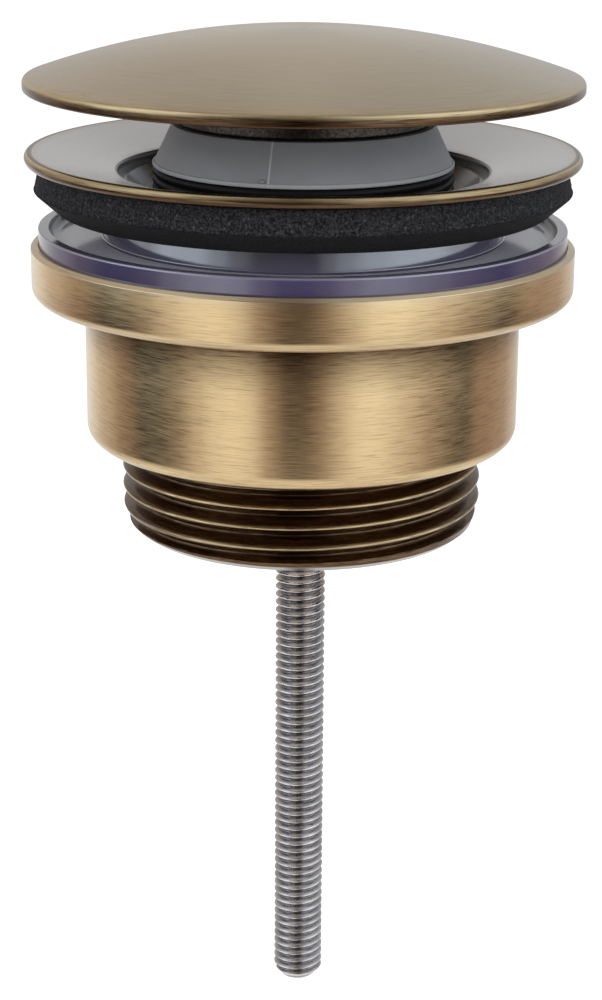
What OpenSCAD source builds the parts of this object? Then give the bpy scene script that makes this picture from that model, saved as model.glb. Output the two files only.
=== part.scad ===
// Pop up basin waste. A domed plug sits on a push latch inside a dished flange. A long tie bolt
// through the flange draws a threaded tail up against the underside of the basin.
// Millimetres, +Z up. The origin is on the axis, at the underside of the foam washer, where the
// flange rests on the basin. The plug is drawn open and the tail close under the flange.

/* [Plug] */
// Diameter of the domed cap
cap_d = 63; // [54:0.5:72]
// Radius of the sphere that the dome follows
dome_r = 93.3; // [75:0.1:140]
// Thickness of the cap
cap_t = 1.3; // [1:0.1:2]
// Rounding of the two edges of the cap's rim
cap_edge = 0.25; // [0.1:0.05:0.4]
// Clear height between the rims of the cap and the flange with the plug open
open_gap = 6.85; // [6.8:0.05:9]
// Diameter of the bronze hub under the cap
hub_d = 28.8; // [26:0.2:30]
// Height of the hub
hub_h = 7.7; // [6:0.1:9]
// Diameter of the neck that hangs from the hub and carries the seal carrier
neck_d = 12; // [10:0.2:14]
// Height of the grey cone that shows on the seal carrier
carrier_h = 4.7; // [4.2:0.1:6]
// Thickness of the seal carrier's walls
carrier_wall = 1.5; // [1.2:0.1:2]
// Outer diameter of the ribbed plug seal
seal_d = 34.2; // [32:0.2:36.6]
// Height of the plug seal
seal_h = 3; // [2.4:0.1:3.6]
// Radial width of the plug seal
seal_w = 2.6; // [2.2:0.1:3]
// Number of ribs around the plug seal
seal_ribs = 3; // [2:1:4]
// Thickness of the nut that holds the seal carrier on the neck
carrier_nut_h = 2.6; // [2:0.1:3]
// Width across the flats of the carrier nut
carrier_nut_af = 17; // [16:0.5:19]
// Thickness of the washer over the carrier nut
carrier_washer_t = 0.8; // [0.5:0.1:1.2]
// Diameter of the stud between the hub and the plunger
stud_d = 4; // [3:0.1:4.4]
// Length of the stud in each of the two pieces that it joins
stud_grip = 7; // [5:0.5:8]

/* [Flange] */
// Diameter of the flange
flange_d = 63; // [62:0.5:72]
// Thickness of the dished plate and of its rolled rim
plate_t = 1.3; // [1:0.1:1.8]
// Slope of the dished plate in degrees
dish_angle = 12.9; // [8:0.1:15]
// Diameter of the recess in the middle of the dish
recess_d = 42; // [41.6:0.1:43]
// Height of the step at the edge of the recess
recess_step = 1; // [0.6:0.1:1.2]
// Outer diameter of the throat, which passes through the basin
throat_d = 43; // [43:0.2:46]
// Length of the throat below the basin's surface
throat_l = 10.3; // [10:0.1:12]
// Thickness of the throat around the seal seat
throat_wall = 2; // [1.5:0.1:2.2]
// Depth of the seal seat's upper edge below the basin's surface
seat_depth = 0.3; // [0.1:0.1:1]
// Number of arms in the flange and in the tail
arm_count = 4; // [3:1:4]
// Width of an arm
arm_w = 4; // [3:0.1:5]
// Height of an arm
arm_h = 3; // [2:0.1:3]
// Thickness of the sleeve that the arms carry
sleeve_wall = 2; // [1.6:0.1:2.6]
// Thickness of the floor at the lower end of the sleeve
sleeve_floor = 2; // [1.6:0.1:3]

/* [Washers] */
// Diameter of the foam washer
foam_d = 61; // [58:0.5:61]
// Height of the foam washer at its outer edge
foam_h = 5.05; // [4.4:0.05:6.5]
// How far the bevel under the foam washer's outer edge runs inwards
foam_bevel = 2.5; // [1:0.1:3.6]
// Height of that bevel, up to where the foam washer is widest
foam_waist = 2.2; // [1.5:0.1:2.6]
// How much the foam washer narrows on each side towards its top
foam_taper = 0.5; // [0.2:0.1:1]
// Clear height between the foam washer and the clear gasket
clamp_gap = 2.1; // [2.1:0.1:6]
// Radial width of the clear gasket
gasket_w = 8.4; // [7:0.1:9]
// Height of the clear gasket
gasket_h = 4.5; // [3.6:0.1:6]
// How far the clear gasket stands above the tail's ring
gasket_proud = 1.95; // [1:0.05:2.6]
// Width of the flat rim around the clear gasket's top
gasket_rim = 1.2; // [0.8:0.1:3]
// Depth of the trough inside that rim
gasket_trough = 1.2; // [0.8:0.1:1.4]
// Height of the lip around the clear gasket's bore, above its rim
lip_h = 1.2; // [0.6:0.1:1.4]
// Thickness of that lip at its top
lip_t = 0.6; // [0.4:0.1:0.8]
// Lean of the lip's outer face in degrees
lip_lean = 10; // [4:1:14]

/* [Tail] */
// Height of the tail's ring
ring_h = 5.85; // [5:0.05:8]
// Thickness of the ring's wall around the clear gasket
ring_wall = 0.65; // [0.5:0.05:1.5]
// Thickness of the cup's wall
cup_wall = 2.5; // [2:0.1:3.5]
// Length of the cup below the ring
cup_l = 16.9; // [15:0.1:24]
// Thickness of the floor between the cup and the outlet
cup_floor = 2; // [1.5:0.1:3]
// Outside diameter of the outlet thread
thread_d = 41.91; // [40:0.01:44]
// Pitch of the outlet thread
thread_pitch = 2.309; // [2:0.001:2.5]
// Depth of the outlet thread
thread_depth = 1.479; // [1:0.001:1.6]
// Full turns of the outlet thread
thread_turns = 4; // [3:1:6]
// Thickness of the outlet's wall behind the thread
outlet_wall = 1.7; // [1.4:0.1:2.4]
// Height of the chamfer at the end of the outlet
outlet_chamfer = 0.6; // [0.4:0.1:1.6]
// Outer diameter of the threaded insert in the tail's boss
insert_d = 9; // [8.2:0.1:10]
// Thickness of the boss around the insert
boss_wall = 1.65; // [1.4:0.05:2.4]

/* [Tie bolt] */
// Outside diameter of the tie bolt's thread
bolt_d = 6; // [5:0.1:6.4]
// Pitch of the tie bolt's thread
bolt_pitch = 1; // [0.8:0.05:1.25]
// Length of the rod that shows below the tail
rod_reach = 60.3; // [40:0.1:90]
// Diameter of the bolt's head
head_d = 10; // [9:0.1:10.4]
// Height of the bolt's head
head_h = 3.8; // [3.4:0.1:5]
// Width across the flats of the hexagon socket
socket_af = 4; // [3:0.1:5]
// Outer diameter of the washer under the bolt's head
bolt_washer_d = 12; // [11.4:0.1:12.4]
// Thickness of the washer under the bolt's head
bolt_washer_t = 0.6; // [0.4:0.1:1]

/* [Cartridge] */
// Outer diameter of the latch cartridge's barrel
barrel_d = 13.9; // [13.9:0.1:15]
// Thickness of the barrel's wall
barrel_wall = 0.95; // [0.8:0.05:0.95]
// Height of the barrel above its collar
barrel_neck = 2; // [1.6:0.1:2.1]
// Width across the flats of the barrel's collar
collar_af = 15; // [15:0.5:17]
// Height of the barrel's collar
collar_h = 2.5; // [2:0.1:2.5]
// Height of the gland that guides the plunger
gland_h = 3; // [2.6:0.1:3.4]
// Diameter of the plunger's stem
stem_d = 6; // [5.4:0.1:6]
// Thickness of the o-ring around the stem
oring_t = 1.38; // [1.2:0.01:1.4]
// Height of the plunger's crown without its teeth
crown_h = 1.6; // [1.2:0.1:2]
// Height of the teeth on the crown and on the rotor
teeth_h = 0.6; // [0.4:0.1:0.8]
// Number of teeth on the crown and on the rotor
teeth_count = 8; // [8:1:8]
// Height of the rotor's fins
fin_h = 2.2; // [1.6:0.1:2.6]
// Width of the ribs and of the rotor's fins in degrees
rib_angle = 12; // [8:1:14]
// Number of ribs in the latch sleeve
rib_count = 4; // [4:1:4]
// Travel of the plug that takes the rotor's fins below the ribs
latch_travel = 4.6; // [4:0.1:4.6]
// Travel of the plug from open to fully pressed
press_travel = 6.6; // [6:0.1:6.6]
// Diameter of the return spring's wire
wire_d = 0.7; // [0.5:0.05:0.8]
// Turns of the return spring
spring_turns = 3.5; // [3:0.5:4]
// Height that the return spring keeps when the plug is fully pressed
spring_short = 3; // [3:0.1:5]
// Thickness of the seat under the return spring
spring_seat_t = 1; // [0.8:0.1:1.6]

/* [Clearances] */
// Radial gap between the plug seal and its seat
seal_gap = 0.3; // [0.2:0.05:0.5]
// Radial gap around a turning or sliding shaft
run_gap = 0.08; // [0.03:0.01:0.1]
// Gap between pieces that are fixed to each other
fit_gap = 0.05; // [0.02:0.01:0.1]
// Gap at the ends of a travel
stop_gap = 0.3; // [0.2:0.05:0.4]
// Radial gap between the clear gasket and the tail's ring
gasket_gap = 0.25; // [0.1:0.05:0.4]
// Radial gap between the foam washer and the throat
foam_gap = 1.4; // [1.2:0.1:2]
// Radial gap between the clear gasket's lip and the throat
lip_gap = 0.2; // [0.1:0.05:0.3]

/* [Hidden] */
$fn = 96;
// How far a cut runs past the face that it opens
over = 1;
// How far a key, a fin or the stem runs into the round that it stands on
root = 0.3;

// Flange plate: a cone that lies on the foam washer and ends in a rolled rim
dish_slope = tan(dish_angle);
foam_r = foam_d / 2;
flange_r = flange_d / 2;
recess_r = recess_d / 2;
throat_r = throat_d / 2;
rim_r = plate_t / 2;
function plate_under(r) = foam_h + (r - foam_r) * dish_slope;
function plate_top(r) = plate_under(r) + plate_t;
rim_z = plate_top(flange_r - rim_r) - rim_r;
recess_z = plate_top(recess_r) - recess_step;
recess_ledge = 1;
seal_r = seal_d / 2;
seat_r = seal_r + seal_gap;
throat_low_r = min(throat_r, seat_r + throat_wall);
throat_taper_z = -seat_depth;
throat_taper_h = 2;
throat_bottom_z = -throat_l;

// Sleeve in the middle of the flange, with the cartridge above and the bolt's head below
barrel_r = barrel_d / 2;
sleeve_bore_r = barrel_r + fit_gap;
sleeve_r = sleeve_bore_r + sleeve_wall;
sleeve_top_z = throat_bottom_z + arm_h;
collar_top_z = sleeve_top_z + collar_h;
barrel_top_z = collar_top_z + barrel_neck;
gland_bottom_z = barrel_top_z - gland_h;
crown_top_z = gland_bottom_z - stop_gap;
crown_bottom_z = crown_top_z - crown_h;
crown_tip_z = crown_bottom_z - teeth_h;
rotor_tip_z = crown_tip_z - stop_gap;
fin_top_z = rotor_tip_z - teeth_h;
rib_bottom_z = fin_top_z - latch_travel;
latch_wall = 0.75;
latch_bottom_z = rib_bottom_z - fit_gap;
rotor_disc_t = 0.7;
rotor_disc_z = latch_bottom_z - stop_gap;
rotor_bottom_z = rotor_disc_z - rotor_disc_t;
spring_top_z = rotor_bottom_z - fit_gap;
spring_bottom_z = rotor_bottom_z - press_travel - spring_short;
barrel_bottom_z = spring_bottom_z - spring_seat_t;
barrel_bore_r = barrel_r - barrel_wall;
barrel_step = 0.55;
spring_bore_r = barrel_bore_r - barrel_step;
spring_play = 0.5;
head_top_z = barrel_bottom_z - stop_gap;
head_bottom_z = head_top_z - head_h;
floor_top_z = head_bottom_z - bolt_washer_t - 2 * fit_gap;
sleeve_bottom_z = floor_top_z - sleeve_floor;
head_pocket_r = bolt_washer_d / 2 + stop_gap;
washer_play = 0.2;

// Latch inside the barrel
latch_r = barrel_bore_r - fit_gap;
latch_bore_r = latch_r - latch_wall;
rib_depth = 1.2;
rib_r = latch_bore_r - rib_depth;
rib_top_z = crown_top_z - stop_gap;
fin_r = latch_bore_r - stop_gap;
crown_gap = 0.2;
crown_r = rib_r - crown_gap;
pilot_r = 1.5;
pilot_recess = 1;
stem_r = stem_d / 2;
key_play = 5;
groove_angle = 360 / rib_count - rib_angle;

// Tail: it hangs on the tie bolt, under the clear gasket
throat_gap = 1;
cup_bore_r = throat_r + throat_gap;
cup_r = cup_bore_r + cup_wall;
gasket_bore_r = throat_r + lip_gap;
gasket_r = gasket_bore_r + gasket_w;
gasket_top_z = -clamp_gap;
gasket_bottom_z = gasket_top_z - gasket_h;
ring_top_z = gasket_top_z - gasket_proud;
ring_bore_r = gasket_r + gasket_gap;
ring_r = ring_bore_r + ring_wall;
ring_bottom_z = ring_top_z - ring_h;
ring_edge = 0.4;
ring_round = 1.2;
cup_bottom_z = ring_bottom_z - cup_l;
cup_round = 1.8;
cup_floor_z = cup_bottom_z + cup_floor;
thread_r = thread_d / 2;
thread_root_r = thread_r - thread_depth;
thread_flat = 0.45;
thread_flank = (thread_pitch - 2 * thread_flat) / 2;
thread_start_z = cup_bottom_z;
thread_end_z = thread_start_z - thread_turns * thread_pitch;
outlet_r = thread_root_r - outlet_wall;
travel_up = clamp_gap - stop_gap;
boss_top_z = sleeve_bottom_z - travel_up - stop_gap;
tail_bottom_z = min(boss_top_z - arm_h, thread_end_z - thread_flank - outlet_chamfer);
insert_r = insert_d / 2;
boss_r = insert_r + fit_gap + boss_wall;

// Tie bolt
bolt_r = bolt_d / 2;
metric_depth = 0.6134;
crest_ease = 0.02;
rod_crest_r = bolt_r - crest_ease;
rod_root_r = rod_crest_r - metric_depth * bolt_pitch;
rod_bottom_z = tail_bottom_z - rod_reach;
rod_tip = 1.2;
shank_below = 0.5;
rod_top_z = sleeve_bottom_z - shank_below;
rod_turns = floor((rod_top_z - rod_bottom_z - rod_tip) / bolt_pitch);
rod_crest_flat = bolt_pitch / 8;
rod_root_flat = bolt_pitch / 4;
rod_flank = (bolt_pitch - rod_crest_flat - rod_root_flat) / 2;

// Plug, from the cap downwards
dome_in_r = dome_r - cap_t;
cap_rim_r = cap_d / 2 - cap_edge;
cap_low_z = rim_z + rim_r + open_gap + cap_edge;
dome_z = cap_low_z - sqrt(pow(dome_in_r + cap_edge, 2) - pow(cap_rim_r, 2));
cap_high_z = dome_z + sqrt(pow(dome_r - cap_edge, 2) - pow(cap_rim_r, 2));
dome_angle = asin(cap_rim_r / (dome_r - cap_edge));
dome_in_angle = asin(cap_rim_r / (dome_in_r + cap_edge));
hub_r = hub_d / 2;
pad_margin = 0.6;
pad_step = 0.4;
pad_r = hub_r + pad_margin;
pad_angle = asin(pad_r / dome_in_r);
pad_z = dome_z + dome_in_r * cos(pad_angle) - pad_step;
hub_bottom_z = pad_z - hub_h;
carrier_bottom_z = hub_bottom_z - carrier_h;
carrier_margin = 0.45;
carrier_top_r = hub_r + carrier_margin;
carrier_lip = 0.5;
seal_top_z = carrier_bottom_z - fit_gap;
seal_bottom_z = seal_top_z - seal_h;
seal_inner_r = seal_r - seal_w;
seal_groove = 0.5;
spigot_r = seal_inner_r - fit_gap;
spigot_lip = 1.2;
spigot_lip_h = 0.8;
spigot_bottom_z = seal_bottom_z - fit_gap - spigot_lip_h;
neck_r = neck_d / 2;
web_bottom_z = hub_bottom_z - carrier_wall;
nut_top_z = web_bottom_z - carrier_washer_t;
nut_bottom_z = nut_top_z - carrier_nut_h;
neck_proud = 0.2;
neck_bottom_z = nut_bottom_z - neck_proud;
stud_r = stud_d / 2;

brass = [0.55, 0.45, 0.30];
bronze = [0.16, 0.12, 0.09];
steel = [0.66, 0.65, 0.65];
grey_plastic = [0.34, 0.34, 0.35];
white_plastic = [0.88, 0.87, 0.83];
black_rubber = [0.08, 0.08, 0.08];
foam_black = [0.13, 0.13, 0.14];
clear_blue = [0.55, 0.57, 0.68, 0.6];

// Points of an arc around [r, z], from angle a to angle b
function arc(r, z, rad, a, b, steps = 8) =
    [for (i = [0 : steps]) let (t = a + (b - a) * i / steps) [r + rad * cos(t), z + rad * sin(t)]];

module lathe(points) {
    rotate_extrude() polygon(points);
}

module ring(r_out, r_in, z_low, z_high) {
    lathe([[r_in, z_low], [r_out, z_low], [r_out, z_high], [r_in, z_high]]);
}

module bore(r, z_low, z_high) {
    translate([0, 0, z_low]) cylinder(r = r, h = z_high - z_low);
}

module hexagon(af, z_low, z_high) {
    translate([0, 0, z_low]) cylinder(r = af / sqrt(3), h = z_high - z_low, $fn = 6);
}

// Arms from r_in to r_out, half way between the X and Y axes when there are four
module arms(r_in, r_out, z_low) {
    for (i = [0 : arm_count - 1])
        rotate([0, 0, (i + 0.5) * 360 / arm_count])
            translate([r_in, -arm_w / 2, z_low])
                cube([r_out - r_in, arm_w, arm_h]);
}

// Wedge from the axis to radius r, angle degrees wide and centred on +X
module sector(r, angle, z_low, z_high) {
    translate([0, 0, z_low])
        linear_extrude(z_high - z_low)
            polygon(concat([[0, 0]], arc(0, 0, r, -angle / 2, angle / 2)));
}

// V grooves across a face at height z, which leave pointed teeth
module tooth_grooves(r, z, up) {
    half = r * tan(180 / teeth_count);
    for (i = [0 : teeth_count - 1])
        rotate([0, 0, i * 360 / teeth_count])
            translate([0, 0, z])
                rotate([90, 0, 90])
                    linear_extrude(r + over)
                        polygon([[0, -up * teeth_h], [half, 0], [half, up * over],
                                 [-half, up * over], [-half, 0]]);
}

module plug_cap() {
    color(brass) lathe(concat(
        arc(0, dome_z, dome_r, 90, 90 - dome_angle, 20),
        arc(cap_rim_r, cap_high_z, cap_edge, 90 - dome_angle, 0, 4),
        arc(cap_rim_r, cap_low_z, cap_edge, 0, -90 - dome_in_angle, 6),
        arc(0, dome_z, dome_in_r, 90 - dome_in_angle, 90 - pad_angle, 10),
        [[pad_r, pad_z], [0, pad_z]]));
}

module plug_hub() {
    chamfer = 0.4;
    color(bronze) difference() {
        lathe([[0, pad_z], [hub_r, pad_z], [hub_r, hub_bottom_z + chamfer],
               [hub_r - chamfer, hub_bottom_z], [neck_r, hub_bottom_z],
               [neck_r, neck_bottom_z], [0, neck_bottom_z]]);
        bore(stud_r + fit_gap, neck_bottom_z - over, neck_bottom_z + stud_grip + fit_gap);
    }
}

module seal_carrier() {
    skirt = carrier_wall;
    web_r = neck_r + fit_gap;
    color(grey_plastic) lathe([
        [web_r, hub_bottom_z], [carrier_top_r, hub_bottom_z],
        [seal_r - carrier_lip / 2, carrier_bottom_z + carrier_lip],
        [seal_r, carrier_bottom_z + carrier_lip], [seal_r, carrier_bottom_z],
        [spigot_r, carrier_bottom_z], [spigot_r, seal_bottom_z - fit_gap],
        [spigot_r + spigot_lip, seal_bottom_z - fit_gap], [spigot_r + spigot_lip, spigot_bottom_z],
        [spigot_r - skirt, spigot_bottom_z], [spigot_r - skirt, web_bottom_z],
        [web_r, web_bottom_z]]);
}

module plug_seal() {
    rib_pitch = seal_h / seal_ribs;
    flank = 0.3 * rib_pitch;
    root_r = seal_r - seal_groove;
    ribs = [for (i = [0 : seal_ribs - 1]) each let (top = seal_top_z - i * rib_pitch) [
        [root_r, top], [seal_r, top - flank],
        [seal_r, top - rib_pitch + flank], [root_r, top - rib_pitch]]];
    color(black_rubber)
        lathe(concat([[seal_inner_r, seal_top_z]], ribs, [[seal_inner_r, seal_bottom_z]]));
}

module carrier_washer() {
    color(steel) ring(carrier_nut_af / 2, neck_r + fit_gap, nut_top_z, web_bottom_z);
}

module carrier_nut() {
    color(brass) difference() {
        hexagon(carrier_nut_af, nut_bottom_z, nut_top_z);
        bore(neck_r + fit_gap, nut_bottom_z - over, nut_top_z + over);
    }
}

module plug_stud() {
    color(steel) bore(stud_r, neck_bottom_z - stud_grip, neck_bottom_z + stud_grip);
}

module plunger() {
    color(brass) {
        difference() {
            union() {
                bore(stem_r, crown_top_z - root, neck_bottom_z);
                difference() {
                    bore(crown_r, crown_tip_z, crown_top_z);
                    tooth_grooves(crown_r, crown_tip_z, -1);
                }
                for (i = [0 : rib_count - 1])
                    rotate([0, 0, (i + 0.5) * 360 / rib_count])
                        intersection() {
                            sector(2 * fin_r, groove_angle - 2 * key_play, crown_bottom_z, crown_top_z);
                            ring(fin_r, crown_r - root, crown_bottom_z, crown_top_z);
                        }
                bore(pilot_r, rotor_bottom_z + pilot_recess, crown_top_z);
            }
            bore(stud_r + fit_gap, neck_bottom_z - stud_grip - fit_gap, neck_bottom_z + over);
        }
    }
}

module latch_rotor() {
    color(white_plastic) difference() {
        union() {
            difference() {
                bore(crown_r, rotor_bottom_z, rotor_tip_z);
                tooth_grooves(crown_r, rotor_tip_z, 1);
            }
            bore(fin_r, rotor_bottom_z, rotor_disc_z);
            for (i = [0 : rib_count - 1])
                rotate([0, 0, (i + 0.5) * 360 / rib_count])
                    intersection() {
                        sector(2 * fin_r, rib_angle, fin_top_z - fin_h, fin_top_z);
                        ring(fin_r, crown_r - root, fin_top_z - fin_h, fin_top_z);
                    }
        }
        bore(pilot_r + run_gap, rotor_bottom_z - over, rotor_tip_z + over);
    }
}

module basin_flange() {
    rim_c = flange_r - rim_r;
    tilt = dish_angle;
    color(brass) {
        difference() {
            union() {
                lathe(concat(
                    [[recess_r, recess_z], [recess_r, plate_top(recess_r)]],
                    arc(rim_c, rim_z, rim_r, 90 + tilt, -90 + tilt, 12),
                    [[foam_r + fit_gap, plate_under(foam_r + fit_gap)],
                     [throat_r, plate_under(throat_r)],
                     [throat_r, throat_taper_z], [throat_low_r, throat_taper_z - throat_taper_h],
                     [throat_low_r, throat_bottom_z], [seat_r, throat_bottom_z],
                     [seat_r, -seat_depth], [recess_r - recess_ledge, recess_z]]));
                ring(sleeve_r, head_pocket_r, floor_top_z, sleeve_top_z);
                ring(sleeve_r, bolt_r + run_gap, sleeve_bottom_z, floor_top_z);
                arms(sleeve_r - sleeve_wall / 2, seat_r + throat_wall / 2, throat_bottom_z);
            }
            bore(sleeve_bore_r, barrel_bottom_z - fit_gap, sleeve_top_z + over);
        }
    }
}

// Foam washer: flat below, with a bevel up to its widest height
module foam_washer() {
    bore_r = throat_r + foam_gap;
    top_r = foam_r - foam_taper;
    color(foam_black) lathe([
        [bore_r, 0], [foam_r - foam_bevel, 0], [foam_r, foam_waist],
        [top_r, plate_under(top_r) - fit_gap], [bore_r, plate_under(bore_r) - fit_gap]]);
}

module cartridge_barrel() {
    color(brass) difference() {
        union() {
            bore(barrel_r, barrel_bottom_z, barrel_top_z);
            hexagon(collar_af, sleeve_top_z, collar_top_z);
        }
        bore(barrel_bore_r, latch_bottom_z - fit_gap, barrel_top_z + over);
        bore(spring_bore_r, barrel_bottom_z - over, latch_bottom_z);
    }
}

module cartridge_gland() {
    groove_mid_z = gland_bottom_z + gland_h / 2;
    groove_h = oring_t + 2 * fit_gap;
    groove_r = stem_r + run_gap + oring_t + fit_gap;
    color(brass) difference() {
        ring(barrel_bore_r - fit_gap, stem_r + run_gap, gland_bottom_z, barrel_top_z);
        bore(groove_r, groove_mid_z - groove_h / 2, groove_mid_z + groove_h / 2);
    }
}

module gland_o_ring() {
    color(black_rubber)
        translate([0, 0, gland_bottom_z + gland_h / 2])
            rotate_extrude()
                translate([stem_r + run_gap + oring_t / 2, 0])
                    circle(d = oring_t, $fn = 32);
}

module latch_sleeve() {
    color(white_plastic) {
        ring(latch_r, latch_bore_r, latch_bottom_z, gland_bottom_z - fit_gap);
        for (i = [0 : rib_count - 1])
            rotate([0, 0, i * 360 / rib_count])
                intersection() {
                    sector(2 * latch_r, rib_angle, rib_bottom_z, rib_top_z);
                    ring(latch_bore_r + latch_wall / 2, rib_r, rib_bottom_z, rib_top_z);
                }
    }
}

// Return spring: a round wire on a helix, with its end turns closed
module return_spring() {
    wire_r = wire_d / 2;
    coil_r = spring_bore_r - spring_play - wire_r;
    low = spring_bottom_z + wire_r + fit_gap;
    high = spring_top_z - wire_r - fit_gap;
    sides = 8;
    steps_per_turn = 20;
    steps = spring_turns * steps_per_turn;
    closed = 0.6;
    function rise(turn) =
        turn < closed ? turn * wire_d
        : turn > spring_turns - closed ? high - low - (spring_turns - turn) * wire_d
        : closed * wire_d + (turn - closed) * (high - low - 2 * closed * wire_d)
          / (spring_turns - 2 * closed);
    points = [for (i = [0 : steps]) for (j = [0 : sides - 1])
        let (turn = i / steps_per_turn, a = 360 * turn, b = 360 * j / sides)
        [(coil_r + wire_r * cos(b)) * cos(a), (coil_r + wire_r * cos(b)) * sin(a),
         low + rise(turn) + wire_r * sin(b)]];
    side_faces = [for (i = [0 : steps - 1]) for (j = [0 : sides - 1])
        let (k = (j + 1) % sides)
        [i * sides + j, i * sides + k, (i + 1) * sides + k, (i + 1) * sides + j]];
    ends = [[for (j = [sides - 1 : -1 : 0]) j], [for (j = [0 : sides - 1]) steps * sides + j]];
    color(steel) polyhedron(points, concat(side_faces, ends));
}

module spring_seat() {
    color(brass) bore(spring_bore_r - fit_gap, barrel_bottom_z, spring_bottom_z);
}

module bolt_washer() {
    color(steel) ring(bolt_washer_d / 2, bolt_r + washer_play, floor_top_z, head_bottom_z - 2 * fit_gap);
}

// Tie bolt: head, plain shank through the flange, and a rod with ring grooves for its thread
module tie_bolt() {
    turns = [for (i = [0 : rod_turns - 1]) each let (z = rod_top_z - i * bolt_pitch) [
        [rod_crest_r, z],
        [rod_crest_r, z - rod_crest_flat],
        [rod_root_r, z - rod_crest_flat - rod_flank],
        [rod_root_r, z - rod_crest_flat - rod_flank - rod_root_flat]]];
    tip_r = rod_root_r - rod_tip / 2;
    color(steel) difference() {
        lathe(concat(
            [[0, head_top_z], [head_d / 2, head_top_z], [head_d / 2, head_bottom_z],
             [bolt_r, head_bottom_z], [bolt_r, rod_top_z]],
            turns,
            [[rod_root_r, rod_bottom_z + rod_tip], [tip_r, rod_bottom_z], [0, rod_bottom_z]]));
        hexagon(socket_af, head_top_z - head_h / 2, head_top_z + over);
    }
}

module tail_body() {
    turns = [for (i = [0 : thread_turns - 1]) each let (z = thread_start_z - i * thread_pitch) [
        [thread_root_r, z],
        [thread_r, z - thread_flank],
        [thread_r, z - thread_flank - thread_flat],
        [thread_root_r, z - 2 * thread_flank - thread_flat]]];
    color(brass) difference() {
        union() {
            lathe(concat(
                [[ring_bore_r, gasket_bottom_z], [ring_bore_r, ring_top_z],
                 [ring_r - ring_edge, ring_top_z], [ring_r, ring_top_z - ring_edge]],
                arc(ring_r - ring_round, ring_bottom_z + ring_round, ring_round, 0, -90),
                [[cup_r, ring_bottom_z]],
                arc(cup_r - cup_round, cup_bottom_z + cup_round, cup_round, 0, -90),
                turns,
                [[thread_root_r + thread_depth / 2, tail_bottom_z + outlet_chamfer],
                 [thread_root_r, tail_bottom_z],
                 [outlet_r, tail_bottom_z], [outlet_r, cup_floor_z],
                 [cup_bore_r, cup_floor_z], [cup_bore_r, gasket_bottom_z]]));
            arms(boss_r - boss_wall / 2, outlet_r + outlet_wall / 2, boss_top_z - arm_h);
            bore(boss_r, boss_top_z - arm_h, boss_top_z);
        }
        bore(insert_r + fit_gap, boss_top_z - arm_h - over, boss_top_z + over);
    }
}

module rod_insert() {
    color(brass) ring(insert_r, bolt_r + run_gap, boss_top_z - arm_h, boss_top_z);
}

// Clear gasket: a flat rim outside, a rounded trough, and a tapered lip around the bore
module clear_gasket() {
    lip_r = gasket_bore_r + lip_t;
    lip_top_z = gasket_top_z + lip_h;
    trough_z = gasket_top_z - gasket_trough;
    lip_foot_r = lip_r + (lip_top_z - trough_z) * tan(lip_lean);
    rim_in_r = gasket_r - gasket_rim;
    color(clear_blue) lathe(concat(
        [[gasket_bore_r, gasket_bottom_z], [gasket_r, gasket_bottom_z], [gasket_r, gasket_top_z]],
        arc(rim_in_r - gasket_trough, gasket_top_z, gasket_trough, 0, -90, 6),
        [[lip_foot_r, trough_z], [lip_r, lip_top_z], [gasket_bore_r, lip_top_z]]));
}

plug_cap();
plug_hub();
seal_carrier();
plug_seal();
carrier_washer();
carrier_nut();
plug_stud();
plunger();
latch_rotor();
basin_flange();
foam_washer();
cartridge_barrel();
cartridge_gland();
gland_o_ring();
latch_sleeve();
return_spring();
spring_seat();
bolt_washer();
tie_bolt();
tail_body();
rod_insert();
clear_gasket();
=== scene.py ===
"""Looks of a pop up basin waste: antique brass, dark bronze, grey plastic, foam, clear gasket and steel."""

import math

import bpy
import numpy as np
from mathutils import Matrix, Vector, noise


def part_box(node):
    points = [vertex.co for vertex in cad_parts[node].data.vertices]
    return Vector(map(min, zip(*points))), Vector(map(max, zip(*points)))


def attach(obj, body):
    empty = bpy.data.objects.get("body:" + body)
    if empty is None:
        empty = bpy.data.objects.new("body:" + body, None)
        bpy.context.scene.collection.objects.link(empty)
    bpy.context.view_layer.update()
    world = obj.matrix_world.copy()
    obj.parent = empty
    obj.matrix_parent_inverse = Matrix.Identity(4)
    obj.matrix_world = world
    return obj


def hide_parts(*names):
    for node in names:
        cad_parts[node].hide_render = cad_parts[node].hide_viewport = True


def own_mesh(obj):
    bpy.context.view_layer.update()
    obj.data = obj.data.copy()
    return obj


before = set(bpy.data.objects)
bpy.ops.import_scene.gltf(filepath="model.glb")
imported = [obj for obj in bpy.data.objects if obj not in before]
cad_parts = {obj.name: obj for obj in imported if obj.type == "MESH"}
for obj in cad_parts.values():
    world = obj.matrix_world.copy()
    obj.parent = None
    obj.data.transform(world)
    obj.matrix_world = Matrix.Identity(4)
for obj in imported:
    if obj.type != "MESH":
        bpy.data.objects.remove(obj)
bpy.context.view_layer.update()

# Sizes in millimetres. Each node's radius and heights come from the frame
MM = 0.001
SEGMENTS = 320
FOAM_SEGMENTS = 720
SLEEVE_SEGMENTS = 128
BOSS_SEGMENTS = 96
ROD_SEGMENTS = 48
NIB_SEGMENTS = 24
SHARP_ANGLE = 38
ROUND_LEAD = 1.2


def span(node):
    """Outer radius, lowest and highest point of a round node."""
    low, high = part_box(node)
    return high.x / MM, low.z / MM, high.z / MM


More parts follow.
